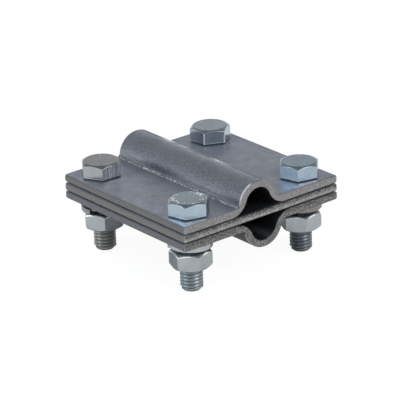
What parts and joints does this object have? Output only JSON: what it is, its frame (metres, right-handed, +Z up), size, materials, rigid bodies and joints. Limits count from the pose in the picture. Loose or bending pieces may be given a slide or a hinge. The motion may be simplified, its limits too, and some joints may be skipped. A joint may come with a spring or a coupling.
{
  "type": "rebar earthing clamp",
  "caption": "Square bolted clamp with half-round grooves above and below a flat middle plate, for joining earthing bars to rebar.",
  "frame": {"origin": "on the ground plane at the four bolt ends, midway between the bolts", "axes": "+Z up along the bolts towards their heads, +Y along the grooves, +X across the grooves"},
  "size_m": [0.0678, 0.0672, 0.0354],
  "materials": {
    "plate_zinc": "matte hot-dip zinc",
    "bolt_zinc": "satin zinc",
    "nut_zinc": "satin zinc",
    "washer_zinc": "satin zinc"
  },
  "bodies": {
    "upper_plate_and_bolts": {"upper_plate": "plate_zinc", "bolt_front_left": "bolt_zinc", "bolt_rear_left": "bolt_zinc", "bolt_front_right": "bolt_zinc", "bolt_rear_right": "bolt_zinc"},
    "middle_plate": {"middle_plate": "plate_zinc"},
    "lower_plate_and_washers": {"lower_plate": "plate_zinc", "spring_washer_front_left": "washer_zinc", "spring_washer_rear_left": "washer_zinc", "spring_washer_front_right": "washer_zinc", "spring_washer_rear_right": "washer_zinc"},
    "nut_front_left": {"nut_front_left": "nut_zinc"},
    "nut_rear_left": {"nut_rear_left": "nut_zinc"},
    "nut_front_right": {"nut_front_right": "nut_zinc"},
    "nut_rear_right": {"nut_rear_right": "nut_zinc"}
  },
  "joints": [
    {"name": "clamp_opening", "type": "slide", "parent": "upper_plate_and_bolts", "child": "lower_plate_and_washers", "axis": [0, 0, -1], "range_m": [-0.0005, 0.007]},
    {"name": "middle_plate_float", "type": "slide", "parent": "upper_plate_and_bolts", "child": "middle_plate", "axis": [0, 0, -1], "range_m": [-0.00025, 0.0035]},
    {"name": "nut_front_left_turn", "type": "hinge", "parent": "lower_plate_and_washers", "child": "nut_front_left", "pos_m": [-0.0244, -0.0243, 0.01145], "axis": [0, 0, -1], "range_deg": [-144, 2016]},
    {"name": "nut_rear_left_turn", "type": "hinge", "parent": "lower_plate_and_washers", "child": "nut_rear_left", "pos_m": [-0.0244, 0.0243, 0.01145], "axis": [0, 0, -1], "range_deg": [-144, 2016]},
    {"name": "nut_front_right_turn", "type": "hinge", "parent": "lower_plate_and_washers", "child": "nut_front_right", "pos_m": [0.0244, -0.0243, 0.01145], "axis": [0, 0, -1], "range_deg": [-144, 2016]},
    {"name": "nut_rear_right_turn", "type": "hinge", "parent": "lower_plate_and_washers", "child": "nut_rear_right", "pos_m": [0.0244, 0.0243, 0.01145], "axis": [0, 0, -1], "range_deg": [-144, 2016]}
  ],
  "couplings": [
    {"joint": "middle_plate_float", "follows": "clamp_opening", "ratio": 0.5},
    {"joint": "nut_front_left_turn", "follows": "clamp_opening", "rad_per_m": 5026.5},
    {"joint": "nut_rear_left_turn", "follows": "clamp_opening", "rad_per_m": 5026.5},
    {"joint": "nut_front_right_turn", "follows": "clamp_opening", "rad_per_m": 5026.5},
    {"joint": "nut_rear_right_turn", "follows": "clamp_opening", "rad_per_m": 5026.5}
  ]
}
